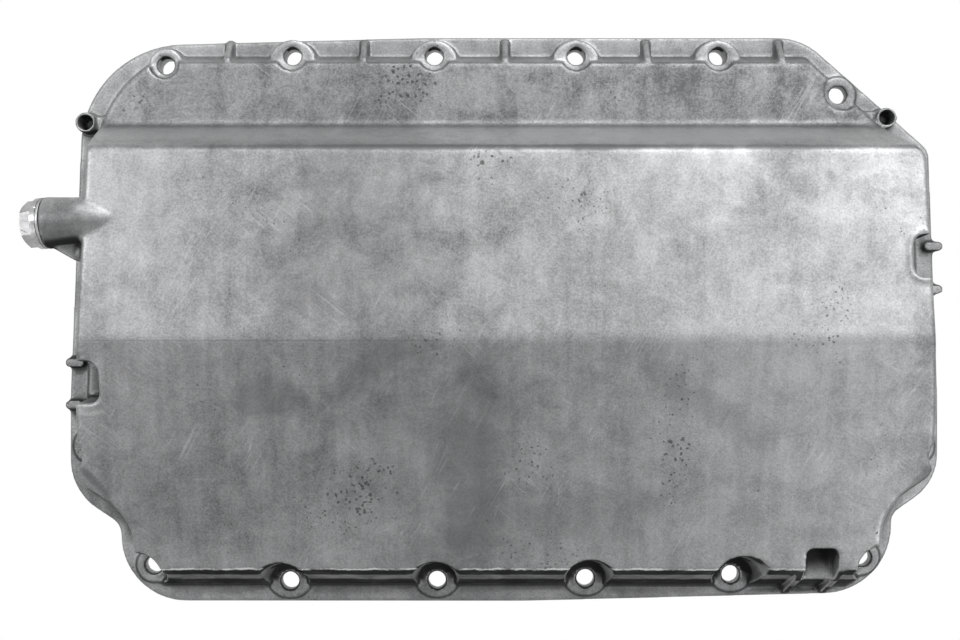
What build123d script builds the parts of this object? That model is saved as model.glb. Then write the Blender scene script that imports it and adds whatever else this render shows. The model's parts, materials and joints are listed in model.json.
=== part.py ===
from build123d import *
from math import copysign, cos, radians, sin, sqrt, tan
import os

os.makedirs("parts", exist_ok=True)

# Cast engine oil pan, millimetres. It lies on its mating face: Z = 0 bolts to the engine block,
# +Z runs outward to the sump bottom and the drain plug points to -X. The origin is the middle of
# the mating face. The shallow side of the sump is at +Y and the deep side at -Y.

# Mating flange. An inset is a distance inward from the end or the long edge of the flange.
flange_length = 439.6
flange_width = 285.6
flange_thickness = 7.0
flange_edge_round = 0.8
left_flare = 7.2
right_flare = 4.6
side_bend = 38.0
side_bend_radius = 100.0
shallow_bend = 40.0
shallow_drop = 4.6
shallow_bend_radius = 400.0
round_corner_radius = 52.5
body_corner_radius = 66.0
cut_corner_length = 64.6
cut_corner_width = 57.0
cut_corner_radius = 32.0
shoulder_radius = 9.0
body_shoulder_radius = 27.0
right_notch_inset = 23.4
right_notch_depth = 44.2
right_lobe_depth = 60.7
right_lobe_radius = 27.0
right_notch_radius = 8.0
right_corner_radius = 34.5
deep_bend = 10.0
deep_rise = 4.9
deep_bend_radius = 300.0
left_notch_inset = 25.8
left_notch_depth = 38.6
left_lobe_depth = 55.7
left_lobe_radius = 30.0
left_notch_radius = 9.5
left_corner_radius = 33.2

# Walls
wall = 4.5
margin = 9.0
deep_margin = 5.5
draft = 9.0
face_draft = 19.0
foot_fillet = 2.5
rim_fillet = 2.0

# Side profile of the roof: places across the pan, and heights above the mating face
tray_rim = 127.6
tray_edge = 96.5
tray_height = 20.5
tray_round = 4.0
step_edge = 81.0
step_height = 66.0
step_round = 5.0
ridge_edge = -9.5
ridge_height = 75.5
ridge_round = 20.0
low_edge = -120.2
low_height = 47.5
low_round = 2.5

# Flange bolts
bolt_hole = 8.8
bolt_inset = 11.0
shallow_pitch = 71.0
shallow_offset = 0.5
bolts_in_row = 4
left_corner_bolt = (50.3, 15.6)
right_corner_bolt = (51.0, 29.2)
deep_bolts = ((-108.0, 10.6), (-33.7, 11.0), (41.2, 12.0), (114.6, 14.0))
left_deep_bolt = (43.0, 18.7)
right_deep_bolt = (38.7, 22.6)
side_bolt_place = 64.0
pad_diameter = 17.4
pad_length = 23.0
pad_width = 17.4
pad_height = 1.0
spot_face = 14.6
scallop_radius = 9.5
deep_scallop_draft = 8.5
corner_scallop_draft = 4.0
side_scallop_draft = 0.5

# Tall bosses round the shallow bolts
boss_height = 15.5
boss_length = 23.0
boss_width = 16.6
corner_boss_diameter = 17.4
shallow_clearance = 8.0

# Ribs between the tall bosses
rib_thickness = 3.2
rib_drop = 1.0
rib_foot = 0.5
rib_reach = 1.5
end_rib_place = 138.5

# Tubular bosses beside the shallow corners
tube_insets = ((10.6, 44.5), (28.9, 42.0))
tube_diameter = 10.4
tube_bore = 7.3
tube_height = 18.0
tube_depth = 14.0
neck_width = 7.0
neck_length = 11.0
neck_height = 15.0

# Side pockets, each with a pair of ears
pocket_place = 29.4
pocket_width = 20.0
pocket_depth = 31.4
pocket_rise = 1.0
pocket_corner = 5.0
ear_spacing = 21.6
ear_drop = 3.2
ear_width = 4.8
ear_length = 10.0
ear_overhang = 1.7
ear_height = 10.0

# Recess with its shelf in the low wall
recess_inset = 68.1
recess_width = 15.4
recess_inner = 109.5
recess_corner = 3.0
shelf_height = 36.0
shelf_reach = 126.6
fin_thickness = 3.4
fin_drop = 1.0
fin_shoulder = 121.0
fin_rise = 1.5
fin_foot = 0.5
fin_reach = 138.5

# Drain boss
drain_set_back = 4.8
drain_across = 45.1
drain_height = 60.5
drain_swing = 4.2
drain_tilt = 8.0
drain_boss = 24.6
drain_neck = 21.4
drain_bore = 14.0
drain_bore_depth = 20.0
fairing_start = 18.0
fairing_end_place = 37.7
fairing_end = 6.0
channel_start = 10.0
channel_end_place = 33.0
channel_end = 2.0
web_thickness = 8.0
web_start = 3.0
web_foot = 14.0
web_root = 24.0
web_inset = 0.5
web_drop = 18.0

# Drain plug and its sealing ring
thread_clearance = 0.05
shank_length = 14.0
shank_chamfer = 1.0
collar_diameter = 24.0
collar_thickness = 2.4
hexagon = 19.0
head_height = 6.2
head_chamfer = 1.9
head_chamfer_angle = 25.0
seal_diameter = 24.0
seal_bore = 14.4
seal_thickness = 1.5
seal_round = 0.5

half_length = flange_length / 2
half_width = flange_width / 2
shallow_left = left_flare - half_length
shallow_right = half_length - right_flare
bolt_row = half_width - bolt_inset
wall_top = ridge_height + wall
reach = half_width + margin
floor_skin = 1.0
row_places = [i - (bolts_in_row - 1) / 2 for i in range(bolts_in_row)]
shallow_row = [(shallow_offset + shallow_pitch * place, bolt_row) for place in row_places]
left_corner = (left_corner_bolt[0] - half_length, half_width - left_corner_bolt[1])
right_corner = (half_length - right_corner_bolt[0], half_width - right_corner_bolt[1])
deep_row = [(place, inset - half_width) for place, inset in deep_bolts]
deep_corners = [
    (left_deep_bolt[0] - half_length, left_deep_bolt[1] - half_width),
    (half_length - right_deep_bolt[0], right_deep_bolt[1] - half_width),
]
side_bolts = [(side * (half_length - bolt_inset), -side_bolt_place) for side in (-1, 1)]
tall_bolts = shallow_row + [left_corner]
low_bolts = [right_corner] + deep_row + deep_corners + side_bolts
tube_places = [
    (tube_insets[0][0] - half_length, half_width - tube_insets[0][1]),
    (half_length - tube_insets[1][0], half_width - tube_insets[1][1]),
]
pocket_inner = half_length - pocket_depth
recess_place = half_length - recess_inset
drain_place = (drain_set_back - half_length, drain_across, drain_height)

# Bends of the roof's side profile, each with its radius
roof_bends = (
    ((tray_edge, tray_height), tray_round),
    ((step_edge, step_height), step_round),
    ((ridge_edge, ridge_height), ridge_round),
    ((low_edge, low_height), low_round),
)


def rim_plan(stretch, drop, rise, corner_radius, shoulder):
    """Plan of the flange with its long edges moved out by stretch, bent where drop and rise say."""
    shallow = half_width + stretch
    deep = -half_width - stretch
    right_notch = half_length - right_notch_inset
    left_notch = left_notch_inset - half_length
    corners = [
        ((shallow_right - cut_corner_length, shallow), cut_corner_radius),
        ((shallow_right, half_width - cut_corner_width), shoulder),
        ((half_length, -side_bend), side_bend_radius),
        ((half_length, right_lobe_depth - half_width), right_lobe_radius),
        ((right_notch, right_notch_depth - half_width), right_notch_radius),
        ((right_notch, deep + rise), right_corner_radius),
        ((left_notch, deep), left_corner_radius),
        ((left_notch, left_notch_depth - half_width), left_notch_radius),
        ((-half_length, left_lobe_depth - half_width), left_lobe_radius),
        ((-half_length, -side_bend), side_bend_radius),
        ((shallow_left, shallow - drop), corner_radius),
    ]
    if rise:
        corners.insert(6, ((deep_bend, deep), deep_bend_radius))
    if drop:
        corners.append(((-shallow_bend, shallow), shallow_bend_radius))
    with BuildSketch() as plan:
        with BuildLine():
            Polyline(*[corner for corner, radius in corners], close=True)
        make_face()
        for corner, radius in corners:
            fillet(plan.vertices().sort_by_distance((*corner, 0))[0], radius)
    return plan.sketch


outline = rim_plan(0, shallow_drop, deep_rise, round_corner_radius, shoulder_radius)
body_plan = rim_plan(margin - deep_margin, 0, 0, body_corner_radius, body_shoulder_radius)
flange_edge = outline.faces()[0].outer_wire()


def sump_form(skin):
    """The drafted body inside the flange outline, its walls and roof moved in by skin."""
    spread = tan(radians(face_draft))
    with BuildPart() as form:
        with BuildSketch():
            add(body_plan)
            offset(amount=-(margin + skin), mode=Mode.REPLACE)
        extrude(amount=wall_top, taper=draft)
        with BuildSketch(Plane.YZ) as profile:
            with BuildLine():
                Polyline(
                    (tray_rim + spread * (tray_height + reach), -reach),
                    (tray_rim, tray_height),
                    *[place for place, radius in roof_bends],
                    (low_edge - spread * (low_height + reach), -reach),
                    close=True,
                )
            make_face()
            offset(amount=-skin, mode=Mode.REPLACE)
            for place, radius in roof_bends:
                fillet(profile.vertices().sort_by_distance((*place, 0))[0], radius)
        extrude(amount=half_length, both=True, mode=Mode.INTERSECT)
        upper = form.edges().filter_by(lambda edge: edge.bounding_box().min.Z > tray_height - skin - 1)
        rim = upper.filter_by(
            lambda edge: edge.bounding_box().size.Y + edge.bounding_box().size.Z > rim_fillet / 4
            or edge.center().Y > tray_edge + tray_round
        )
        if not skin:
            fillet(rim, rim_fillet)
    return form.part


def post(places, radius, bottom, lean=0.0):
    """Round posts from the height bottom past the roof, widening upward by the angle lean."""
    height = wall_top - bottom
    with BuildPart(Plane.XY.offset(bottom)) as posts:
        with Locations(*places):
            top_radius = radius + height * tan(radians(lean))
            if lean:
                Cone(radius, top_radius, height, align=(Align.CENTER, Align.CENTER, Align.MIN))
            else:
                Cylinder(radius, height, align=(Align.CENTER, Align.CENTER, Align.MIN))
    return posts.part


def scallops(skin, bottom):
    """The space kept clear round the low bolts, thicker by skin."""
    with BuildPart() as clear:
        add(post(deep_row, scallop_radius + skin, bottom, deep_scallop_draft))
        add(post(deep_corners, scallop_radius + skin, bottom, corner_scallop_draft))
        add(post(side_bolts, scallop_radius + skin, bottom, side_scallop_draft))
    return clear.part


def side_pockets(skin, bottom):
    """The two pockets in the side walls, or the lump of metal round them when skin is given."""
    with BuildPart() as pockets:
        with BuildSketch(Plane.XY.offset(bottom)) as plan:
            inner = pocket_inner - skin
            with Locations(*[(side * (inner + reach / 2), side * pocket_place) for side in (-1, 1)]):
                Rectangle(reach, pocket_width + 2 * skin)
            inner_corners = plan.vertices().filter_by(lambda vertex: abs(vertex.X) < inner + 1)
            fillet(inner_corners, pocket_corner)
        extrude(amount=wall_top)
    return pockets.part


def low_recess(skin, bottom):
    """The recess in the low wall, or the lump of metal round it when skin is given."""
    with BuildPart() as recess:
        with BuildSketch(Plane.XY.offset(bottom)) as plan:
            inner = recess_inner - skin
            with Locations((recess_place, -inner - reach / 2)):
                Rectangle(recess_width + 2 * skin, reach)
            inner_corners = plan.vertices().filter_by(lambda vertex: vertex.Y > -inner - 1)
            fillet(inner_corners, recess_corner)
        extrude(amount=wall_top)
    return recess.part


# Frame of the drain bore: its origin is the middle of the boss face and Z runs out of the pan
outward = Vector(
    -cos(radians(drain_swing)) * cos(radians(drain_tilt)),
    -sin(radians(drain_swing)) * cos(radians(drain_tilt)),
    -sin(radians(drain_tilt)),
)
across = Vector(-sin(radians(drain_swing)), cos(radians(drain_swing)), 0)
drain = Plane(origin=drain_place, x_dir=across, z_dir=outward)
drain_axis = Axis(drain_place, outward)

with BuildPart() as cavity:
    add(sump_form(wall))
    add(post(tall_bolts + [right_corner], bolt_hole / 2 + wall, 0), mode=Mode.SUBTRACT)
    add(scallops(wall, 0), mode=Mode.SUBTRACT)
    add(side_pockets(wall, 0), mode=Mode.SUBTRACT)
    add(low_recess(wall, 0), mode=Mode.SUBTRACT)


def lens(length, width):
    """A plan with pointed ends and round sides."""
    with BuildSketch() as plan:
        with BuildLine():
            ThreePointArc((-length / 2, 0), (0, width / 2), (length / 2, 0))
            ThreePointArc((length / 2, 0), (0, -width / 2), (-length / 2, 0))
        make_face()
    return plan.sketch


boss_plan = lens(boss_length, boss_width)
pad_plan = lens(pad_length, pad_width)

with BuildPart() as oil_pan:
    # Flange and body
    add(outline)
    extrude(amount=flange_thickness)
    fillet(oil_pan.edges().group_by(Axis.Z)[-1], flange_edge_round)
    add(sump_form(0))
    foot = oil_pan.edges().filter_by_position(Axis.Z, flange_thickness - 0.01, flange_thickness + 0.01)
    foot = foot.filter_by(
        lambda edge: flange_edge.distance_to(Vertex((edge @ 0.5).X, (edge @ 0.5).Y, 0)) > margin / 2
    )
    shallow_foot = foot.sort_by(Axis.Y)[-1]
    fillet(foot.filter_by(lambda edge: edge != shallow_foot), foot_fillet)

    # Tall bosses and the ribs between them
    with BuildSketch():
        with Locations(*shallow_row):
            add(boss_plan)
        with Locations(left_corner):
            Circle(corner_boss_diameter / 2)
    extrude(amount=boss_height)
    rib_places = [shallow_offset + shallow_pitch * place for place in (-1, 0, 1)]
    for rib_place in rib_places + [-end_rib_place, end_rib_place]:
        with BuildSketch(Plane.YZ.offset(rib_place)):
            with BuildLine():
                Polyline(
                    (bolt_row - wall, floor_skin),
                    (bolt_row - wall, tray_height - rib_drop),
                    (bolt_row - wall / 2, tray_height - rib_drop),
                    (half_width - rib_reach, flange_thickness + rib_foot),
                    (half_width - rib_reach, floor_skin),
                    close=True,
                )
            make_face()
        extrude(amount=rib_thickness / 2, both=True)

    # Tubular bosses
    with Locations(*tube_places):
        Cylinder(tube_diameter / 2, tube_height, align=(Align.CENTER, Align.CENTER, Align.MIN))
    with BuildSketch():
        for x, y in tube_places:
            with Locations((x - copysign(neck_length / 2, x), y)):
                Rectangle(neck_length, neck_width)
    extrude(amount=neck_height)

    # Low pads round the deep bolts
    with BuildSketch(Plane.XY.offset(flange_thickness)):
        with Locations(*deep_row):
            add(pad_plan)
        with Locations(*low_bolts):
            Circle(pad_diameter / 2)
    extrude(amount=pad_height)

    # Room for the bolts, pockets and recess
    add(scallops(0, flange_thickness + pad_height), mode=Mode.SUBTRACT)
    add(post(shallow_row, shallow_clearance, boss_height), mode=Mode.SUBTRACT)
    add(post([right_corner], scallop_radius, flange_thickness + pad_height), mode=Mode.SUBTRACT)
    add(side_pockets(0, flange_thickness + pocket_rise), mode=Mode.SUBTRACT)
    add(low_recess(0, shelf_height), mode=Mode.SUBTRACT)

    # Ears beside the pockets
    with BuildSketch():
        for side in (-1, 1):
            for end in (-1, 1):
                ear_y = side * pocket_place - ear_drop + end * ear_spacing / 2
                with Locations((side * (half_length + ear_overhang - ear_length / 2), ear_y)):
                    SlotOverall(ear_length, ear_width)
    extrude(amount=ear_height)

    # Shelf and fins of the recess
    with BuildSketch():
        with Locations((recess_place, -(recess_inner + shelf_reach) / 2)):
            Rectangle(recess_width, shelf_reach - recess_inner)
    extrude(amount=shelf_height)
    for side in (-1, 1):
        fin_place = recess_place + side * (recess_width + fin_thickness) / 2
        with BuildSketch(Plane.YZ.offset(fin_place)):
            with BuildLine():
                Polyline(
                    (-recess_inner, floor_skin),
                    (-recess_inner, low_height),
                    (-fin_shoulder, low_height - fin_drop),
                    (-shelf_reach, shelf_height + fin_rise),
                    (-fin_reach, flange_thickness + fin_foot),
                    (-fin_reach, floor_skin),
                    close=True,
                )
            make_face()
        extrude(amount=fin_thickness / 2, both=True)

    # Drain boss with its fairing and web
    with Locations(drain.offset(-fairing_start)):
        Cone(drain_neck / 2, drain_boss / 2, fairing_start, align=(Align.CENTER, Align.CENTER, Align.MIN))
    with Locations(drain.offset(-fairing_end_place)):
        Cone(
            fairing_end / 2,
            drain_neck / 2,
            fairing_end_place - fairing_start,
            align=(Align.CENTER, Align.CENTER, Align.MIN),
        )
    with BuildSketch(Plane.XY.offset(drain_height - web_thickness / 2)):
        with BuildLine():
            Polyline(
                (drain_place[0] + web_start, drain_across),
                (drain_place[0] + web_start, drain_across - drain_boss / 2 + web_inset),
                (drain_place[0] + web_foot, drain_across - web_drop),
                (drain_place[0] + web_root, drain_across - web_drop),
                (drain_place[0] + web_root, drain_across),
                close=True,
            )
        make_face()
    extrude(amount=web_thickness)

    # Inside, the drain bore and its channel
    add(cavity.part, mode=Mode.SUBTRACT)
    with BuildSketch(drain):
        Circle(drain_bore / 2 + thread_clearance)
    extrude(amount=-drain_bore_depth, mode=Mode.SUBTRACT)
    with Locations(drain.offset(-channel_end_place)):
        Cone(
            channel_end / 2,
            drain_bore / 2,
            channel_end_place - channel_start,
            align=(Align.CENTER, Align.CENTER, Align.MIN),
            mode=Mode.SUBTRACT,
        )

    # Bolt holes and spot faces
    with BuildSketch():
        with Locations(*(tall_bolts + low_bolts)):
            Circle(bolt_hole / 2)
    extrude(amount=wall_top, mode=Mode.SUBTRACT)
    with BuildSketch(Plane.XY.offset(boss_height)):
        with Locations(*tall_bolts):
            Circle(spot_face / 2)
    extrude(amount=tray_height, mode=Mode.SUBTRACT)
    with BuildSketch(Plane.XY.offset(tube_height)):
        with Locations(*tube_places):
            Circle(tube_bore / 2)
    extrude(amount=-tube_depth, mode=Mode.SUBTRACT)

oil_pan.part.label = "oil_pan"
export_step(oil_pan.part, "parts/oil_pan.step")

# Hexagon head: a prism cut by a round blank with a bevelled end
seat = drain.offset(seal_thickness)
with BuildPart() as head:
    with BuildSketch(seat.offset(collar_thickness)):
        Circle(hexagon / sqrt(3))
    extrude(amount=head_height)
    bevelled = head.edges().sort_by(drain_axis)[-1]
    end_face = head.faces().sort_by(drain_axis)[-1]
    bevel_height = head_chamfer * tan(radians(head_chamfer_angle))
    chamfer(bevelled, head_chamfer, bevel_height, reference=end_face)
    with BuildSketch(seat.offset(collar_thickness)):
        RegularPolygon(hexagon / 2, 6, major_radius=False)
    extrude(amount=head_height, mode=Mode.INTERSECT)

with BuildPart() as drain_plug:
    with BuildSketch(seat):
        Circle(drain_bore / 2)
    extrude(amount=-shank_length)
    chamfer(drain_plug.edges().sort_by(drain_axis)[0], shank_chamfer)
    with BuildSketch(seat):
        Circle(collar_diameter / 2)
    extrude(amount=collar_thickness)
    add(head.part)
drain_plug.part.label = "drain_plug"
export_step(drain_plug.part, "parts/drain_plug.step")

with BuildPart() as sealing_ring:
    with BuildSketch(drain):
        Circle(seal_diameter / 2)
        Circle(seal_bore / 2, mode=Mode.SUBTRACT)
    extrude(amount=seal_thickness)
    fillet(sealing_ring.edges().filter_by(GeomType.CIRCLE).group_by(SortBy.RADIUS)[-1], seal_round)
sealing_ring.part.label = "sealing_ring"
export_step(sealing_ring.part, "parts/sealing_ring.step")
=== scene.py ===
import json
import math
import bmesh
import bpy
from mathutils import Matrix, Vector
from mathutils.bvhtree import BVHTree


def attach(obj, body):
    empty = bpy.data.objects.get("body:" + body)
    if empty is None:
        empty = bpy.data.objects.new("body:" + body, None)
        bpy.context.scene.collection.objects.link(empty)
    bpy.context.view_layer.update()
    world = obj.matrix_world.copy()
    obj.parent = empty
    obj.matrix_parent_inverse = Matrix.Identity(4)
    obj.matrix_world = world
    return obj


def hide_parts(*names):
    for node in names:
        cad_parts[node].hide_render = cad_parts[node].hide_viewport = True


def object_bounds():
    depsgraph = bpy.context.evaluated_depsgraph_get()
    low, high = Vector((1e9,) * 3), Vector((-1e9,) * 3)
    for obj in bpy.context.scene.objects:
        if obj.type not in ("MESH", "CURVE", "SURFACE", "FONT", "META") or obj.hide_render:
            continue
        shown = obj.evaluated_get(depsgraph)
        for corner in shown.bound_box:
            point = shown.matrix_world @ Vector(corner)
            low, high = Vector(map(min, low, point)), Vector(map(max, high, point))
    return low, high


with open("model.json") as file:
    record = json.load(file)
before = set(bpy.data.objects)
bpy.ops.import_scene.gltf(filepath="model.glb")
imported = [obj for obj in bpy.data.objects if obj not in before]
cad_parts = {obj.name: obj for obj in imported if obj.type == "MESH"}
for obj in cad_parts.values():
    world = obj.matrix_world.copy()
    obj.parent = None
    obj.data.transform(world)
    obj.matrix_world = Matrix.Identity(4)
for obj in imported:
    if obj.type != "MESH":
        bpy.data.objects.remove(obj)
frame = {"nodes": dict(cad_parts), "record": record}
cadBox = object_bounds()
print("frame loaded")

mm = 0.001


# Small helpers for node trees
def newMaterial(name):
    material = bpy.data.materials.new(name)
    material.use_nodes = True
    tree = material.node_tree
    return material, tree, tree.nodes["Principled BSDF"]


# Links a socket, or sets a plain value
def feed(tree, target, value):
    if isinstance(value, bpy.types.NodeSocket):
        tree.links.new(value, target)
    else:
        target.default_value = value


def addNode(tree, kind, values):
    node = tree.nodes.new(kind)
    for key, value in values.items():
        if isinstance(key, str) and key in node.bl_rna.properties:
            setattr(node, key, value)
        else:
            feed(tree, node.inputs[key], value)
    return node


def mathNode(tree, operation, first, second=None, clamp=False):
    node = addNode(tree, "ShaderNodeMath", {"operation": operation, "use_clamp": clamp, 0: first})
    if second is not None:
        feed(tree, node.inputs[1], second)
    return node.outputs[0]


def times(tree, product, *factors):
    for factor in factors:
        product = mathNode(tree, "MULTIPLY", product, factor)
    return product


def remap(tree, value, low, high, toLow=0.0, toHigh=1.0):
    return addNode(tree, "ShaderNodeMapRange", {
        "Value": value, "From Min": low, "From Max": high, "To Min": toLow, "To Max": toHigh, "clamp": True,
    }).outputs[0]


def noiseNode(tree, vector, scale, detail, rough=0.5, warp=0.0):
    return addNode(tree, "ShaderNodeTexNoise", {
        "Vector": vector, "Scale": scale, "Detail": detail, "Roughness": rough, "Distortion": warp,
    })


def mixColour(tree, factor, first, second):
    return addNode(tree, "ShaderNodeMix", {
        "data_type": "RGBA", "Factor": factor, 6: first, 7: second,
    }).outputs[2]


# 1 for rays that show a surface to the camera, straight or by way of a shine
def shownRays(tree):
    rays = tree.nodes.new("ShaderNodeLightPath").outputs
    return mathNode(tree, "MAXIMUM", rays["Is Camera Ray"],
                    mathNode(tree, "MAXIMUM", rays["Is Glossy Ray"], rays["Is Transmission Ray"]))


def newGroup(name, inputs, outputs):
    group = bpy.data.node_groups.new(name, "ShaderNodeTree")
    for label, kind, value in inputs:
        socket = group.interface.new_socket(label, in_out="INPUT", socket_type=kind)
        if value is not None:
            socket.default_value = value
    for label in outputs:
        group.interface.new_socket(label, in_out="OUTPUT", socket_type="NodeSocketFloat")
    entry = group.nodes.new("NodeGroupInput").outputs
    return group, entry, group.nodes.new("NodeGroupOutput").inputs


def placeGroup(tree, group, values):
    node = tree.nodes.new("ShaderNodeGroup")
    node.node_tree = group
    for label, value in values.items():
        feed(tree, node.inputs[label], value)
    return node.outputs


# Effects that several metals share. Mottle: detail, roughness and distortion of each noise
mottleLook = {
    "Stain": (3.0, 0.6, 0.9),
    "Blotch": (5.0, 0.7, 0.4),
    "Grain": (2.0, 0.75, 0.0),
}


def makeMottle():
    group, entry, leave = newGroup("mottle", [
        ("Vector", "NodeSocketVector", None),
        ("Stain Scale", "NodeSocketFloat", 9.0),
        ("Blotch Scale", "NodeSocketFloat", 55.0),
        ("Grain Scale", "NodeSocketFloat", 1000.0),
    ], ["Stain", "Blotch", "Grain"])
    for label, shape in mottleLook.items():
        noise = noiseNode(group, entry["Vector"], entry[label + " Scale"], *shape)
        group.links.new(noise.outputs["Fac"], leave[label])
    return group


pitLook = {
    # scale and detail of the noises
    "warp": (320.0, 2.0),
    "region": (22.0, 3.0),
    "shift": 0.003,
    "gather": 4.0,
    "edge": 14.0,
}


def makePits():
    look = pitLook
    group, entry, leave = newGroup("pits", [
        ("Vector", "NodeSocketVector", None),
        ("Scale", "NodeSocketFloat", 200.0),
        ("Size", "NodeSocketFloat", 0.16),
        ("Spread", "NodeSocketFloat", 0.5),
    ], ["Mask"])
    warp = noiseNode(group, entry["Vector"], *look["warp"])
    shifted = addNode(group, "ShaderNodeVectorMath", {
        "operation": "MULTIPLY_ADD", 0: warp.outputs["Color"], 1: (look["shift"],) * 3, 2: entry["Vector"],
    })
    cells = addNode(group, "ShaderNodeTexVoronoi", {"Vector": shifted.outputs[0], "Scale": entry["Scale"]})
    region = noiseNode(group, entry["Vector"], *look["region"])
    allowed = mathNode(group, "SUBTRACT", region.outputs["Fac"], entry["Spread"])
    reach = times(group, mathNode(group, "MULTIPLY", allowed, look["gather"], True), entry["Size"])
    depth = mathNode(group, "SUBTRACT", reach, cells.outputs["Distance"])
    group.links.new(mathNode(group, "MULTIPLY", depth, look["edge"], True), leave["Mask"])
    return group


scratchLook = {
    # drawn out along the scratch
    "stretch": (420.0, 9.0, 60.0),
    "detail": 1.0,
    "wave": 0.25,
    "fine": 60.0,
    # scale and detail of the places that have scratches
    "where": (30.0, 2.0),
    "edge": 9.0,
}


def makeScratches():
    look = scratchLook
    group, entry, leave = newGroup("scratches", [
        ("Vector", "NodeSocketVector", None),
        ("Turn", "NodeSocketVector", (0.0, 0.0, 0.6)),
        ("Density", "NodeSocketFloat", 0.5),
    ], ["Mask"])
    turned = addNode(group, "ShaderNodeVectorRotate", {
        "rotation_type": "EULER_XYZ", "Vector": entry["Vector"], "Rotation": entry["Turn"],
    }).outputs[0]
    drawn = addNode(group, "ShaderNodeMapping", {"Vector": turned, "Scale": look["stretch"]}).outputs[0]
    lines = noiseNode(group, drawn, 1.0, look["detail"], warp=look["wave"])
    thin = mathNode(group, "ABSOLUTE", mathNode(group, "SUBTRACT", lines.outputs["Fac"], 0.5))
    line = mathNode(group, "SUBTRACT", 1.0, times(group, thin, look["fine"]), True)
    where = noiseNode(group, turned, *look["where"])
    allowed = mathNode(group, "SUBTRACT", where.outputs["Fac"], entry["Density"])
    gate = mathNode(group, "MULTIPLY", allowed, look["edge"], True)
    group.links.new(times(group, line, gate), leave["Mask"])
    return group


bandLook = {
    "ragged": 1.4,
    # none beyond the first distance, full within the second
    "edge": (1.9, 0.7),
}


def makeSoftBand():
    look = bandLook
    group, entry, leave = newGroup("softBand", [
        ("Vector", "NodeSocketVector", None),
        ("Wander", "NodeSocketFloat", 0.5),
        ("Middle", "NodeSocketVector", (0.0, 0.0, 0.0)),
        ("Angle", "NodeSocketFloat", 0.0),
        ("Half Length", "NodeSocketFloat", 0.05),
        ("Half Width", "NodeSocketFloat", 0.01),
    ], ["Mask"])
    local = addNode(group, "ShaderNodeVectorMath", {
        "operation": "SUBTRACT", 0: entry["Vector"], 1: entry["Middle"],
    }).outputs[0]
    turned = addNode(group, "ShaderNodeVectorRotate", {
        "rotation_type": "Z_AXIS", "Vector": local, "Angle": entry["Angle"],
    }).outputs[0]
    parts = addNode(group, "ShaderNodeSeparateXYZ", {"Vector": turned}).outputs
    squares = []
    for part, half in (("X", "Half Length"), ("Y", "Half Width")):
        share = mathNode(group, "DIVIDE", parts[part], entry[half])
        squares.append(mathNode(group, "POWER", mathNode(group, "ABSOLUTE", share), 2.0))
    span = mathNode(group, "ADD", *squares)
    ragged = mathNode(group, "ADD", span, times(group, entry["Wander"], look["ragged"]))
    edge = addNode(group, "ShaderNodeMapRange", {
        "interpolation_type": "SMOOTHSTEP", "Value": ragged,
        "From Min": look["edge"][0], "From Max": look["edge"][1], "To Min": 0.0, "To Max": 1.0,
    })
    group.links.new(edge.outputs[0], leave["Mask"])
    return group


mottle = makeMottle()
pits = makePits()
scratches = makeScratches()
softBand = makeSoftBand()
print("shader groups made")

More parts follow.
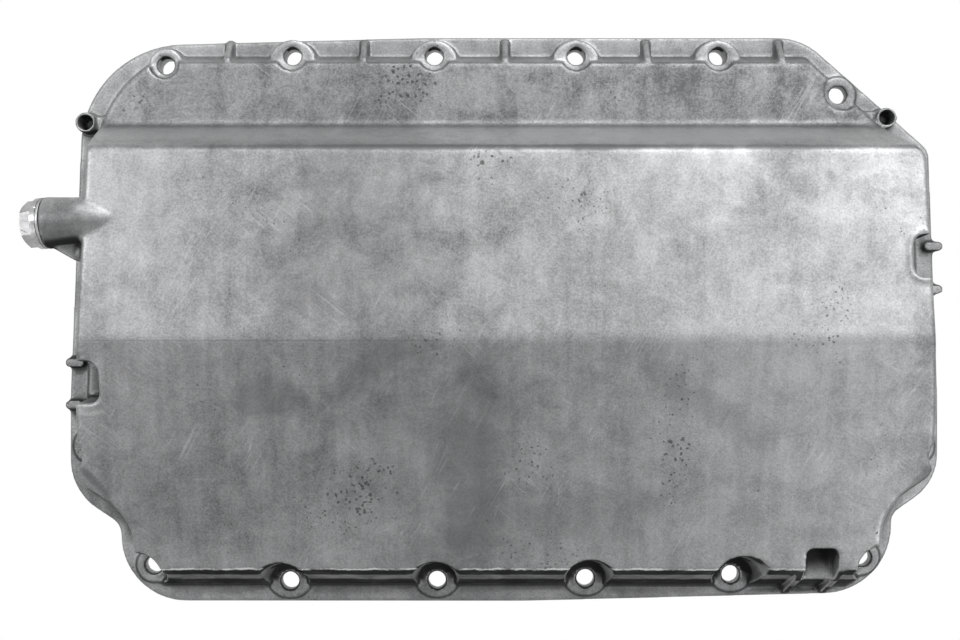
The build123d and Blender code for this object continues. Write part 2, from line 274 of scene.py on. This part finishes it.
# Cast aluminium of the pan, stained and scratched by use, with painted light and shade laid into its colour.
# Heights and widths are in m, and a pair or four are the From and To values of a remap
castLook = {
    "dark": (0.085, 0.086, 0.088, 1),
    "light": (0.355, 0.357, 0.361, 1),
    # colour of painted shade and of dark marks
    "shadeAndGrime": (0.022, 0.022, 0.0228, 1),
    "bright": (0.50, 0.505, 0.51, 1),
    "metal": 0.85,
    "sheen": 0.5,
    # painted shade and dark marks at which the metal and the sheen are gone
    "metalGone": 0.8,
    "sheenGone": 0.7,
    # range of each noise, then its weight in the tone
    "stain": (0.34, 0.66),
    "blotch": (0.33, 0.67),
    "grain": (0.34, 0.66),
    "toneWeights": (0.34, 0.40, 0.36),
    # tray: from below, from above, how much darker
    "tray": ((0.0165, 0.0195), (0.030, 0.0225)),
    "trayDarker": 0.25,
    # painted shade on faces turned to the deep side: facing range, then how much darker
    "lowFacing": (0.0, 0.16),
    "lowShade": 0.30,
    "streakStretch": (170.0, 14.0, 40.0),
    "streakNoise": (1.0, 5.0, 0.6),
    "streak": (0.35, 0.68, 0.06, -0.09),
    # worn edges and scratches
    "wornEdge": (0.515, 0.57),
    "wornPatches": (0.3, 0.6),
    "wornWeight": 0.40,
    "scratches": (((0.0, 0.0, 0.5), 0.52), ((0.0, 0.0, -0.9), 0.56)),
    "scratchWeight": 0.22,
    # painted shade in hollows, less on the shallow side
    "hollow": (0.13, 0.42),
    "hollowWeight": 0.90,
    "shallow": (0.070, 0.078),
    "shallowShade": 0.22,
    # pits, only where the surface is open and faces up
    "pits": {"Scale": 380.0, "Size": 0.36, "Spread": 0.46},
    "pitOpen": (0.16, 0.06),
    "pitUp": (0.80, 0.92),
    "pitWeight": 0.60,
    # painted shade on the deep wall: full on its upper part and in its lower groove, weaker between the two
    "wallShadeFacing": (0.50, 0.80),
    "wallShadeFoot": (0.0075, 0.010),
    "wallShadeUpper": (0.0345, 0.0375),
    "wallShadeGroove": (0.0255, 0.0205),
    "wallShadeLevels": (0.64, 0.93),
    "wallShadePatches": (0.45, 0.75, 1.0, 0.72),
    # dark outline of the pads round the bolts
    "padLine": ((0.00715, 0.0074), (0.00785, 0.0076)),
    "padWeight": 0.6,
    # painted shade where the walls meet the flange: strength on the deep side, then on the shallow side
    "footLine": ((0.0072, 0.0078), (0.0125, 0.0090)),
    "footLevels": (0.75, 0.25),
    "footFlat": (0.985, 0.90),
    # bright flash left along the deep rim
    "flash": {"line": -0.1197, "noise": (130.0, 4.0, 0.75), "wander": 0.0030, "width": 0.00065, "core": 0.4,
              "above": 0.0440, "fade": 0.001, "patches": (0.38, 0.52)},
    "roughness": (0.58, 0.40),
    "roughWeights": (0.6, 0.4),
    "bumpNoise": (260.0, 2.0, 0.65),
    "bump": 0.22,
    "bumpDepth": 0.00035,
    # a mark lowers the tone by up to this many times its strength, but never by more than the limit
    "markGain": 2.0,
    "markLimit": 0.9,
    # middle in mm, angle in degrees, half length and half width in mm, strength; negative is lighter
    "boss": ((-204.0, 45.6), 4.0, 19.0, 11.0, 0.45),
    "marks": (
        ((-66, -25), 40, 28, 9, 0.18),
        ((94, -40), -34, 42, 9, 0.14),
        ((-17, -66), 90, 66, 20, 0.22),
        ((-111, -37), 10, 20, 13, 0.24),
        ((-95, 40), 84, 60, 26, 0.12),
        ((20, -95), 6, 70, 20, 0.12),
        # painted light on the right of the main slope
        ((105, 60), 88, 50, 12, -0.12),
        # painted shade along the upper edge of the step
        ((4, 80.4), 0, 230, 1.9, 0.85),
        ((-100, -9.8), 0, 120, 0.5, 0.22),
        # painted shade inside the curved ends of the deep rim and at the top of the left pocket, painted highlight
        # on the pocket's lower lip
        ((-195, -75), -48, 13, 2.4, 0.38),
        ((-184, -95), -68, 15, 2.4, 0.34),
        ((195, -75), 48, 13, 2.2, 0.30),
        ((185, -95), 68, 15, 2.2, 0.30),
        ((-197, -18), 0, 9, 3.5, 0.34),
        ((-196, -43), 0, 9, 2.6, -0.30),
        # painted light and shade: broad darker and lighter areas on the two slopes, painted light on the step band,
        # painted shade along the deep wall's foot
        ((-62, 30), 90, 95, 42, 0.15),
        ((-22, -70), 90, 80, 46, 0.13),
        ((112, 30), 90, 100, 62, -0.10),
        ((-172, 40), 90, 90, 28, -0.06),
        ((0, 89.5), 0, 215, 8, -0.34),
        ((0, -139), 0, 215, 5, 0.12),
    ),
}


def markBand(tree, at, middle, angle, halfLength, halfWidth):
    return placeGroup(tree, softBand, {
        "Vector": at["coords"],
        "Wander": at["patches"],
        "Middle": (middle[0] * mm, middle[1] * mm, 0.0),
        "Angle": math.radians(-angle),
        "Half Length": halfLength * mm,
        "Half Width": halfWidth * mm,
    })[0]


# Product of the rising and the falling side of a band in one value
def between(tree, value, sides):
    return times(tree, remap(tree, value, *sides[0]), remap(tree, value, *sides[1]))


def castTone(tree, at):
    look = castLook
    stain, blotch, grain = [times(tree, at[label], weight)
                            for label, weight in zip(("stain", "blotch", "grain"), look["toneWeights"])]
    tone = mathNode(tree, "ADD", mathNode(tree, "ADD", stain, blotch), grain)
    shelf = between(tree, at["height"], look["tray"])
    tone = mathNode(tree, "SUBTRACT", tone, times(tree, shelf, look["trayDarker"]))
    # painted shade on faces turned to the deep side
    tone = times(tree, tone, remap(tree, at["deepSide"], *look["lowFacing"], 1.0, 1.0 - look["lowShade"]))
    drawn = addNode(tree, "ShaderNodeMapping", {"Vector": at["coords"], "Scale": look["streakStretch"]})
    streak = noiseNode(tree, drawn.outputs[0], *look["streakNoise"])
    tone = mathNode(tree, "ADD", tone, remap(tree, streak.outputs["Fac"], *look["streak"]))
    for *place, strength in look["marks"]:
        band = markBand(tree, at, *place)
        if strength > 0:
            left = 1.0 - min(look["markLimit"], look["markGain"] * strength)
            tone = times(tree, tone, remap(tree, band, 0.0, 1.0, 1.0, left))
        else:
            tone = mathNode(tree, "SUBTRACT", tone, times(tree, band, strength))
    return mathNode(tree, "ADD", tone, 0.0, True)


def castBright(tree, at):
    look = castLook
    worn = times(tree, remap(tree, at["edge"], *look["wornEdge"]), remap(tree, at["patches"], *look["wornPatches"]))
    lines = mathNode(tree, "MAXIMUM", *[
        placeGroup(tree, scratches, {"Vector": at["coords"], "Turn": turn, "Density": density})[0]
        for turn, density in look["scratches"]
    ])
    return mathNode(tree, "ADD", times(tree, worn, look["wornWeight"]),
                    times(tree, lines, look["scratchWeight"]), True)


def castFlash(tree, at):
    look = castLook["flash"]
    ragged = noiseNode(tree, at["coords"], *look["noise"]).outputs["Fac"]
    wander = times(tree, mathNode(tree, "SUBTRACT", ragged, 0.5), look["wander"])
    away = mathNode(tree, "SUBTRACT", wander, mathNode(tree, "SUBTRACT", at["across"], look["line"]))
    line = remap(tree, mathNode(tree, "ABSOLUTE", away), look["width"], look["width"] * look["core"])
    return times(tree, line, remap(tree, at["height"], look["above"], look["above"] + look["fade"]),
                 remap(tree, at["patches"], *look["patches"]))


def castDark(tree, at):
    look = castLook
    closed = addNode(tree, "ShaderNodeAttribute", {"attribute_name": "hollow"}).outputs["Fac"]
    # painted shade in hollows, from how closed in each point is
    hollow = times(tree, remap(tree, closed, *look["hollow"]),
                   remap(tree, at["across"], *look["shallow"], 1.0, look["shallowShade"]))
    holes = placeGroup(tree, pits, {"Vector": at["coords"], **look["pits"]})[0]
    pitted = times(tree, holes, remap(tree, closed, *look["pitOpen"]), remap(tree, at["facingUp"], *look["pitUp"]))
    dark = mathNode(tree, "ADD", times(tree, hollow, look["hollowWeight"]),
                    times(tree, pitted, look["pitWeight"]), True)
    outline = between(tree, at["height"], look["padLine"])
    dark = mathNode(tree, "MAXIMUM", dark, times(tree, outline, look["padWeight"]))
    layers = mathNode(tree, "MAXIMUM", remap(tree, at["height"], *look["wallShadeUpper"]),
                      remap(tree, at["height"], *look["wallShadeGroove"]))
    # painted shade on the deep wall, from the way it faces and its height
    wallShade = times(tree, remap(tree, at["deepSide"], *look["wallShadeFacing"]),
                 remap(tree, at["height"], *look["wallShadeFoot"]),
                 remap(tree, layers, 0.0, 1.0, *look["wallShadeLevels"]),
                 remap(tree, at["patches"], *look["wallShadePatches"]))
    dark = mathNode(tree, "MAXIMUM", dark, wallShade)
    # painted shade where the walls meet the flange; the drain boss is made darker too
    foot = times(tree, between(tree, at["height"], look["footLine"]),
                 remap(tree, at["across"], *look["shallow"], *look["footLevels"]),
                 remap(tree, at["facingUp"], *look["footFlat"]))
    *place, strength = look["boss"]
    foot = mathNode(tree, "MAXIMUM", foot, times(tree, markBand(tree, at, *place), strength))
    return mathNode(tree, "MAXIMUM", dark, foot)


def makeCastAluminium():
    look = castLook
    material, tree, shader = newMaterial("castAluminium")
    coords = tree.nodes.new("ShaderNodeTexCoord").outputs["Object"]
    place = addNode(tree, "ShaderNodeSeparateXYZ", {"Vector": coords}).outputs
    surface = tree.nodes.new("ShaderNodeNewGeometry").outputs
    facing = addNode(tree, "ShaderNodeSeparateXYZ", {"Vector": surface["Normal"]}).outputs
    marks = placeGroup(tree, mottle, {"Vector": coords})
    at = {
        "coords": coords,
        "across": place["Y"],
        "height": place["Z"],
        "edge": surface["Pointiness"],
        "facingUp": facing["Z"],
        "deepSide": times(tree, facing["Y"], -1.0),
        "patches": marks["Blotch"],
        "stain": remap(tree, marks["Stain"], *look["stain"]),
        "blotch": remap(tree, marks["Blotch"], *look["blotch"]),
        "grain": remap(tree, marks["Grain"], *look["grain"]),
    }
    flash = castFlash(tree, at)
    colour = mixColour(tree, castTone(tree, at), look["dark"], look["light"])
    colour = mixColour(tree, mathNode(tree, "MAXIMUM", castBright(tree, at), flash), colour, look["bright"])
    dark = times(tree, castDark(tree, at), mathNode(tree, "SUBTRACT", 1.0, flash))
    blotchWeight, stainWeight = look["roughWeights"]
    uneven = mathNode(tree, "ADD", times(tree, at["blotch"], blotchWeight), times(tree, at["stain"], stainWeight))
    cast = noiseNode(tree, coords, *look["bumpNoise"]).outputs["Fac"]
    bump = addNode(tree, "ShaderNodeBump", {
        "Strength": look["bump"], "Distance": look["bumpDepth"], "Height": cast,
    })
    for label, value in (
        # painted shade and dark marks laid over the colour
        ("Base Color", mixColour(tree, dark, colour, look["shadeAndGrime"])),
        # the near edge-on deep wall would brighten at grazing angles without these two
        ("Metallic", remap(tree, dark, 0.0, look["metalGone"], look["metal"], 0.0)),
        ("Specular IOR Level", remap(tree, dark, 0.0, look["sheenGone"], look["sheen"], 0.0)),
        ("Roughness", remap(tree, uneven, 0.0, 1.0, *look["roughness"])),
        ("Normal", bump.outputs[0]),
    ):
        feed(tree, shader.inputs[label], value)
    return material


# Plated and soft metals, with what they share and what each has of its own
platedShared = {
    "blotchScale": 160.0,
    "blotch": (0.35, 0.65),
    "scratchTurn": (0.0, 0.4, 0.2),
    "scratchDensity": 0.5,
    "scratchWeight": 0.35,
    "scratch": (0.93, 0.93, 0.93, 1),
    "roughPatches": (0.3, 0.7),
    "bump": 0.12,
    "bumpDepth": 0.0001,
}
zincLook = {
    "dark": (0.26, 0.26, 0.265, 1),
    "light": (0.44, 0.44, 0.445, 1),
    "metal": 0.95,
    "roughness": (0.38, 0.24),
    "grainScale": 700.0,
}
washerLook = {
    "dark": (0.22, 0.22, 0.225, 1),
    "light": (0.36, 0.36, 0.365, 1),
    "metal": 0.9,
    "roughness": (0.5, 0.34),
    "grainScale": 900.0,
}


def makePlated(name, look):
    shared = platedShared
    material, tree, shader = newMaterial(name)
    coords = tree.nodes.new("ShaderNodeTexCoord").outputs["Object"]
    marks = placeGroup(tree, mottle, {
        "Vector": coords, "Blotch Scale": shared["blotchScale"], "Grain Scale": look["grainScale"],
    })
    colour = mixColour(tree, remap(tree, marks["Blotch"], *shared["blotch"]), look["dark"], look["light"])
    rubbed = placeGroup(tree, scratches, {
        "Vector": coords, "Turn": shared["scratchTurn"], "Density": shared["scratchDensity"],
    })[0]
    bump = addNode(tree, "ShaderNodeBump", {
        "Strength": shared["bump"], "Distance": shared["bumpDepth"], "Height": marks["Grain"],
    })
    for label, value in (
        ("Base Color", mixColour(tree, times(tree, rubbed, shared["scratchWeight"]), colour, shared["scratch"])),
        ("Metallic", look["metal"]),
        ("Roughness", remap(tree, marks["Blotch"], *shared["roughPatches"], *look["roughness"])),
        ("Normal", bump.outputs[0]),
    ):
        feed(tree, shader.inputs[label], value)
    return material


castAluminium = makeCastAluminium()
zincPlating = makePlated("zincPlating", zincLook)
softAluminium = makePlated("softAluminium", washerLook)
print("materials made")


# Mesh helpers
def mergedCopy(nodeName, name):
    mesh = frame["nodes"][nodeName].data.copy()
    work = bmesh.new()
    work.from_mesh(mesh)
    bmesh.ops.remove_doubles(work, verts=work.verts, dist=1e-6)
    work.to_mesh(mesh)
    work.free()
    piece = bpy.data.objects.new(name, mesh)
    bpy.context.scene.collection.objects.link(piece)
    return piece


def plainMesh(piece):
    graph = bpy.context.evaluated_depsgraph_get()
    mesh = bpy.data.meshes.new_from_object(piece.evaluated_get(graph))
    piece.modifiers.clear()
    old = piece.data
    piece.data = mesh
    if old.users == 0:
        bpy.data.meshes.remove(old)
    return mesh


def triangleCount(mesh):
    return sum(len(face.vertices) - 2 for face in mesh.polygons)


def setMaterial(piece, material):
    piece.data.materials.clear()
    piece.data.materials.append(material)


# Casting beads laid on the pan before its skin is blended
def bead(points, radius):
    curve = bpy.data.curves.new("bead", "CURVE")
    curve.dimensions = "3D"
    curve.bevel_depth = radius * mm
    curve.bevel_resolution = 2
    curve.use_fill_caps = True
    spline = curve.splines.new("POLY")
    spline.points.add(len(points) - 1)
    for point, place in zip(spline.points, points):
        point.co = (place[0] * mm, place[1] * mm, place[2] * mm, 1)
    holder = bpy.data.objects.new("bead", curve)
    mesh = bpy.data.meshes.new_from_object(holder)
    bpy.data.objects.remove(holder)
    bpy.data.curves.remove(curve)
    return mesh


# Height of the roof at its ridge and at both ends, as y and z in mm
roof = {
    "ridge": (-9.5, 75.5),
    "step": (81.0, 66.0),
    "low": (-120.2, 47.5),
}


def roofHeight(y):
    far = roof["step"] if y > roof["ridge"][0] else roof["low"]
    share = (y - roof["ridge"][0]) / (far[0] - roof["ridge"][0])
    return roof["ridge"][1] + share * (far[1] - roof["ridge"][1])


# Raised lip round each side pocket
pocketLip = {
    "radius": 1.7,
    "sink": 0.9,
    "gap": 1.2,
    "corner": 5.0,
    "cornerSteps": 6,
    "inner": 188.4,
    "outer": 196.5,
    "half": 10.0,
    "middle": 29.4,
}


def pocketBead(side):
    look = pocketLip
    inner = look["inner"] - look["gap"]
    half = look["half"] + look["gap"]
    bend = look["corner"] + look["gap"]
    points = [(look["outer"], half)]
    for step in range(look["cornerSteps"] + 1):
        turn = math.radians(90 / look["cornerSteps"] * step)
        points.append((inner + bend - bend * math.sin(turn), half - bend + bend * math.cos(turn)))
    points += [(x, -y) for x, y in reversed(points)]
    placed = []
    for x, y in points:
        across = side * look["middle"] + y
        placed.append((side * x, across, roofHeight(across) - look["sink"]))
    return bead(placed, look["radius"])


deepBolts = ((-108.0, -132.2), (-33.7, -131.8), (41.2, -130.8), (114.6, -128.8))

# Parting line round the deep wall and its scallops
deepWall = {
    "line": 29.0,
    "radius": 0.7,
    "proud": 0.3,
    "flangeTop": 7.0,
    "padHeight": 1.0,
    "foot": -134.1,
    "slope": 19.0,
    "scallop": 9.5,
    "draft": 8.5,
    "from": -150.0,
    "to": 133.0,
    "steps": 160,
}


def partingBead():
    look = deepWall
    rise = look["line"] - look["flangeTop"]
    wall = look["foot"] + rise * math.tan(math.radians(look["slope"]))
    reach = look["scallop"] + (rise - look["padHeight"]) * math.tan(math.radians(look["draft"]))
    points = []
    for index in range(look["steps"] + 1):
        x = look["from"] + (look["to"] - look["from"]) * index / look["steps"]
        y = wall
        for boltX, boltY in deepBolts:
            if abs(x - boltX) < reach:
                y = max(y, boltY + math.sqrt(reach * reach - (x - boltX) ** 2))
        points.append((x, y + look["proud"], look["line"]))
    return bead(points, look["radius"])


# How closed in each point is, from 0 in the open to 1 in a deep hollow
hollowLook = {
    "rays": 14,
    "reach": 24.0,
    "lift": 0.4,
    # golden angle in radians, which spreads the rays evenly
    "spiral": 2.39996,
    # bolt holes are machined and get no painted shade
    "noShadeRadius": 5.2,
    "noShadeTop": 16.5,
    "bolts": ((-106, 131.8), (-35, 131.8), (36, 131.8), (107, 131.8), (-169.5, 127.2), (168.8, 113.6),
              (-176.8, -124.1), (181.1, -120.2)) + deepBolts,
}


def markHollows(mesh):
    look = hollowLook
    tree = BVHTree.FromPolygons([vertex.co for vertex in mesh.vertices],
                                [face.vertices for face in mesh.polygons])
    directions = []
    for index in range(look["rays"]):
        rise = (index + 0.5) / look["rays"]
        turn = index * look["spiral"]
        flat = math.sqrt(1 - rise * rise)
        directions.append(Vector((flat * math.cos(turn), flat * math.sin(turn), rise)))
    values = []
    for vertex in mesh.vertices:
        if vertex.co.z < look["noShadeTop"] * mm and any(
                math.hypot(vertex.co.x / mm - x, vertex.co.y / mm - y) < look["noShadeRadius"] for x, y in look["bolts"]):
            values.append(0.0)
            continue
        frameTurn = vertex.normal.to_track_quat("Z", "Y")
        start = vertex.co + vertex.normal * look["lift"] * mm
        closed = 0.0
        for direction in directions:
            hit = tree.ray_cast(start, frameTurn @ direction, look["reach"] * mm)[3]
            if hit is not None:
                closed += 1 - hit / (look["reach"] * mm)
        values.append(closed / look["rays"])
    attribute = mesh.attributes.new("hollow", "FLOAT", "POINT")
    attribute.data.foreach_set("value", values)


# The pan's skin: the casting blended into soft edges, as sand and draft leave them
panForm = {
    "voxel": 1.0,
    "smooth": 0.5,
    "passes": 4,
    "triangles": 185000,
}


def makePan():
    look = panForm
    pan = mergedCopy("oil_pan", "castPan")
    work = bmesh.new()
    work.from_mesh(pan.data)
    for extra in (pocketBead(1), pocketBead(-1), partingBead()):
        work.from_mesh(extra)
        bpy.data.meshes.remove(extra)
    work.to_mesh(pan.data)
    work.free()
    skin = pan.modifiers.new("skin", "REMESH")
    skin.mode = "VOXEL"
    skin.voxel_size = look["voxel"] * mm
    skin.use_smooth_shade = True
    soft = pan.modifiers.new("soft", "SMOOTH")
    soft.factor = look["smooth"]
    soft.iterations = look["passes"]
    mesh = plainMesh(pan)
    count = triangleCount(mesh)
    print("skin triangles", count)
    thin = pan.modifiers.new("thin", "DECIMATE")
    thin.ratio = min(1.0, look["triangles"] / count)
    mesh = plainMesh(pan)
    mesh.shade_smooth()
    markHollows(mesh)
    print("pan triangles", triangleCount(mesh))
    setMaterial(pan, castAluminium)
    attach(pan, "pan")
    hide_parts("oil_pan")


makePan()
print("pan made")

# Drain plug with its rolled M14 x 1.5 thread
plugForm = {
    "shank": 7.0,
    # how near the shank's radius a vertex lies, and how far along it, to be taken in to the core
    "nearShank": 0.05,
    "shankEnd": 2.0,
    "core": 6.16,
    "pitch": 1.5,
    "depth": 0.84,
    "halfWidth": 0.74,
    "from": -12.9,
    "to": -1.2,
    "steps": 40,
    "runOut": 0.05,
}


def makeThreadTree(material):
    tree = bpy.data.node_groups.new("threadTree", "GeometryNodeTree")
    sizes = {}
    for label, kind, value in (
        ("Radius", "NodeSocketFloat", 0.006),
        ("Turns", "NodeSocketFloat", 8.0),
        ("Length", "NodeSocketFloat", 0.012),
        ("Depth", "NodeSocketFloat", 0.001),
        ("Half Width", "NodeSocketFloat", 0.001),
        ("Steps", "NodeSocketInt", 32),
        ("Run Out", "NodeSocketFloat", 0.05),
        ("Start", "NodeSocketVector", (0.0, 0.0, 0.0)),
        ("Turn", "NodeSocketRotation", (0.0, 0.0, 0.0)),
    ):
        socket = tree.interface.new_socket(label, in_out="INPUT", socket_type=kind)
        socket.default_value = value
        sizes[label] = socket.identifier
    tree.interface.new_socket("Geometry", in_out="OUTPUT", socket_type="NodeSocketGeometry")
    entry = tree.nodes.new("NodeGroupInput")
    leave = tree.nodes.new("NodeGroupOutput")
    link = tree.links.new
    spiral = tree.nodes.new("GeometryNodeCurveSpiral")
    for label, source in (("Resolution", "Steps"), ("Rotations", "Turns"), ("Start Radius", "Radius"),
                          ("End Radius", "Radius"), ("Height", "Length")):
        link(entry.outputs[source], spiral.inputs[label])
    # reversed, the spiral is a right-handed helix
    spiral.inputs["Reverse"].default_value = True
    upright = tree.nodes.new("GeometryNodeSetCurveNormal")
    upright.mode = "Z_UP"
    link(spiral.outputs[0], upright.inputs["Curve"])
    along = tree.nodes.new("GeometryNodeSplineParameter")
    left = mathNode(tree, "SUBTRACT", 1.0, along.outputs["Factor"])
    fromEnd = mathNode(tree, "MINIMUM", along.outputs["Factor"], left)
    swell = mathNode(tree, "DIVIDE", fromEnd, entry.outputs["Run Out"], True)
    tapered = tree.nodes.new("GeometryNodeSetCurveRadius")
    link(upright.outputs[0], tapered.inputs["Curve"])
    link(swell, tapered.inputs["Radius"])
    ridge = tree.nodes.new("GeometryNodeCurvePrimitiveQuadrilateral")
    ridge.mode = "KITE"
    link(mathNode(tree, "MULTIPLY", entry.outputs["Half Width"], 2.0), ridge.inputs["Width"])
    link(entry.outputs["Depth"], ridge.inputs["Bottom Height"])
    link(entry.outputs["Depth"], ridge.inputs["Top Height"])
    swept = tree.nodes.new("GeometryNodeCurveToMesh")
    link(tapered.outputs[0], swept.inputs["Curve"])
    link(ridge.outputs[0], swept.inputs["Profile Curve"])
    placed = tree.nodes.new("GeometryNodeTransform")
    link(swept.outputs[0], placed.inputs["Geometry"])
    link(entry.outputs["Start"], placed.inputs["Translation"])
    link(entry.outputs["Turn"], placed.inputs["Rotation"])
    real = tree.nodes.new("GeometryNodeRealizeInstances")
    link(placed.outputs[0], real.inputs[0])
    coat = tree.nodes.new("GeometryNodeSetMaterial")
    coat.inputs["Material"].default_value = material
    link(real.outputs[0], coat.inputs["Geometry"])
    link(coat.outputs[0], leave.inputs[0])
    return tree, sizes


def makePlug():
    look = plugForm
    joint = next(entry for entry in frame["record"]["behaviour"]["joints"] if entry["name"] == "plug_turn")
    axis = Vector(joint["axis"])
    seat = Vector(joint["pos_m"])
    plug = mergedCopy("drain_plug", "plug")
    for vertex in plug.data.vertices:
        along = (vertex.co - seat).dot(axis)
        centre = seat + axis * along
        spoke = vertex.co - centre
        onShank = abs(spoke.length - look["shank"] * mm) < look["nearShank"] * mm
        if onShank and along < look["shankEnd"] * mm:
            vertex.co = centre + spoke * (look["core"] / look["shank"])
    length = look["to"] - look["from"]
    holder = bpy.data.objects.new("threadHolder", bpy.data.meshes.new("threadHolder"))
    bpy.context.scene.collection.objects.link(holder)
    tree, sizes = makeThreadTree(zincPlating)
    thread = holder.modifiers.new("thread", "NODES")
    thread.node_group = tree
    values = {
        "Radius": look["core"] * mm,
        "Turns": length / look["pitch"],
        "Length": length * mm,
        "Depth": look["depth"] * mm,
        "Half Width": look["halfWidth"] * mm,
        "Steps": look["steps"],
        "Run Out": look["runOut"],
        "Start": seat + axis * look["from"] * mm,
        "Turn": axis.to_track_quat("Z", "Y").to_euler(),
    }
    for label, value in values.items():
        thread[sizes[label]] = value
    mesh = plainMesh(holder)
    ring = [(vertex.co - seat - axis * (vertex.co - seat).dot(axis)).length / mm for vertex in mesh.vertices]
    print("thread triangles", triangleCount(mesh), "radius", min(ring), max(ring))
    work = bmesh.new()
    work.from_mesh(plug.data)
    work.from_mesh(mesh)
    bmesh.ops.recalc_face_normals(work, faces=work.faces)
    work.to_mesh(plug.data)
    work.free()
    bpy.data.objects.remove(holder)
    setMaterial(plug, zincPlating)
    for face in plug.data.polygons:
        face.material_index = 0
    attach(plug, "plug")
    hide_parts("drain_plug")


makePlug()
setMaterial(frame["nodes"]["sealing_ring"], softAluminium)
print("plug and ring made")

# Floor, plain white where it is seen and a soft grey to the light
stageLook = {
    "size": 6.0,
    "drop": 0.0005,
    "colour": (0.80, 0.80, 0.80, 1),
    "roughness": 0.9,
}
bpy.ops.mesh.primitive_plane_add(size=stageLook["size"], location=(0, 0, cadBox[0].z - stageLook["drop"]))
floor = bpy.context.object
floor.name = "floor"
floorMaterial, tree, shader = newMaterial("floorPaper")
shader.inputs["Base Color"].default_value = stageLook["colour"]
shader.inputs["Roughness"].default_value = stageLook["roughness"]
light = tree.nodes.new("ShaderNodeEmission")
mixer = addNode(tree, "ShaderNodeMixShader", {0: shownRays(tree), 1: shader.outputs[0], 2: light.outputs[0]})
tree.links.new(mixer.outputs[0], tree.nodes["Material Output"].inputs[0])
floor.data.materials.append(floorMaterial)

# Lights, all aimed at the origin: places and sizes in m, power in W
lights = {
    "far": {"place": (0.35, 1.5, 1.15), "size": 1.2, "power": 24},
    "farLeft": {"place": (-1.0, 0.5, 1.2), "size": 0.5, "power": 7},
    "farRight": {"place": (0.70, 0.72, 1.28), "size": 0.7, "power": 9},
    "nearRight": {"place": (0.95, -0.75, 1.1), "size": 0.5, "power": 6},
    "nearLeft": {"place": (-0.95, -0.6, 1.1), "size": 0.5, "power": 2},
}
for name, look in lights.items():
    lamp = bpy.data.lights.new(name, "AREA")
    lamp.energy = look["power"]
    lamp.size = look["size"]
    lampObject = bpy.data.objects.new(name, lamp)
    lampObject.location = look["place"]
    lampObject.rotation_mode = "QUATERNION"
    lampObject.rotation_quaternion = (-Vector(look["place"])).to_track_quat("-Z", "Y")
    bpy.context.scene.collection.objects.link(lampObject)

# World: strength 1 where it is seen, and much weaker as a light
worldLevel = 0.2
world = bpy.data.worlds.new("studio")
world.use_nodes = True
sky = world.node_tree
background = sky.nodes["Background"]
background.inputs[0].default_value = (1, 1, 1, 1)
sky.links.new(remap(sky, shownRays(sky), 0.0, 1.0, worldLevel, 1.0), background.inputs[1])
bpy.context.scene.world = world

# Camera, straight above the pan: place in mm, turn in degrees
cameraLook = {
    "place": (-10.99, -0.894, 747.04),
    "turn": (0.0456, 0.0846, 0.0253),
    "lens": 54.81,
    "sensor": 36.0,
    "clipEnd": 20,
}
cameraData = bpy.data.cameras.new("camera")
cameraData.sensor_width = cameraLook["sensor"]
cameraData.lens = cameraLook["lens"]
cameraData.dof.use_dof = False
cameraData.clip_end = cameraLook["clipEnd"]
camera = bpy.data.objects.new("camera", cameraData)
camera.location = [value * mm for value in cameraLook["place"]]
camera.rotation_euler = [math.radians(value) for value in cameraLook["turn"]]
bpy.context.scene.collection.objects.link(camera)
bpy.context.scene.camera = camera
bpy.context.scene.view_settings.view_transform = "Standard"
print("stage, lights and camera made")
